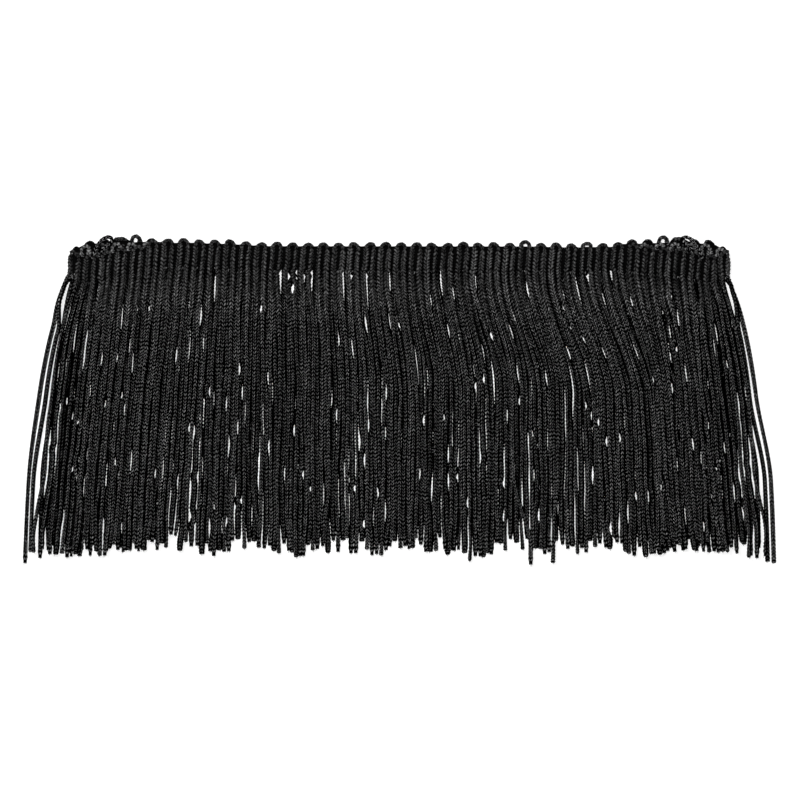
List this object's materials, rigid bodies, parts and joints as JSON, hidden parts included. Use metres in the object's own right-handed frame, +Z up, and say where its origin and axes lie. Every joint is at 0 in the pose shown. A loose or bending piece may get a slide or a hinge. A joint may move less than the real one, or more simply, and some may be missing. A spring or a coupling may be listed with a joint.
{
  "type": "chainette fringe trim",
  "caption": "Length of black chainette fringe: a ribbed heading with a picot edge and a deep skirt of loose cut cords, laid flat with both ends turned under.",
  "frame": {"origin": "centre of the overall box, at its base on the table", "axes": "+X along the trim, +Y from the skirt to the heading, +Z up from the table through the face"},
  "size_m": [0.369, 0.1611, 0.0072],
  "materials": {
    "yarn": "satin"
  },
  "bodies": {
    "root": {"heading": "yarn", "fringe": "yarn"}
  },
  "joints": []
}
